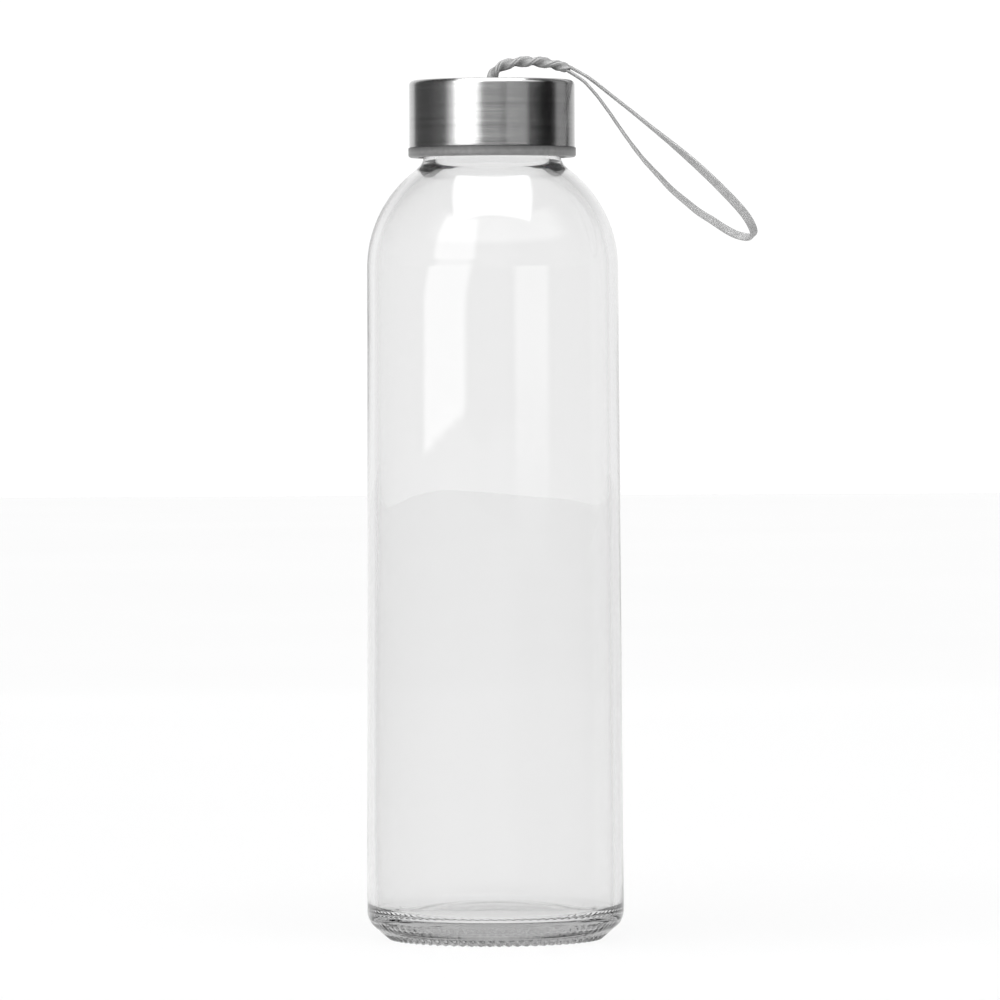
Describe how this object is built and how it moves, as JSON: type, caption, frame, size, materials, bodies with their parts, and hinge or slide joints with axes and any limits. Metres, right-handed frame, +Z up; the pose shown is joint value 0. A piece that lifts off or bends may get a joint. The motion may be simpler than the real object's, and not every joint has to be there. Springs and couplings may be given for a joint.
{
  "type": "glass water bottle",
  "caption": "Clear glass water bottle with a domed shoulder, a brushed steel screw cap and a flat braided cord loop on the cap.",
  "frame": {"origin": "on the bottle's axis, in the plane of the ring it stands on", "axes": "+Z up the bottle's axis towards the cap; +X towards the side where the cord loop hangs"},
  "size_m": [0.1008, 0.0658, 0.2262],
  "materials": {
    "clear_glass": "clear",
    "brushed_steel": "brushed round the cap",
    "grey_plastic": "satin",
    "silicone": "matt, translucent white",
    "braided_cord": "glossy nylon braid"
  },
  "bodies": {
    "bottle": {"bottle": "clear_glass"},
    "seal": {"seal": "silicone"},
    "cap": {"cap_shell": "brushed_steel", "cap_insert": "grey_plastic"},
    "loop": {"cord_stem": "braided_cord", "cord_loop": "braided_cord", "cord_knot": "braided_cord"}
  },
  "joints": [
    {"name": "cap_lift", "type": "slide", "parent": "bottle", "child": "seal", "axis": [0, 0, 1], "range_m": [0, 0.017]},
    {"name": "cap_turn", "type": "hinge", "parent": "seal", "child": "cap", "pos_m": [0, 0, 0.2], "axis": [0, 0, 1], "range_deg": [0, 1440]},
    {"name": "loop_swivel", "type": "hinge", "parent": "cap", "child": "loop", "pos_m": [0, 0, 0.22], "axis": [0, 0, 1], "continuous": true}
  ],
  "couplings": [
    {"joint": "cap_lift", "follows": "cap_turn", "m_per_rad": 0.00067323}
  ]
}
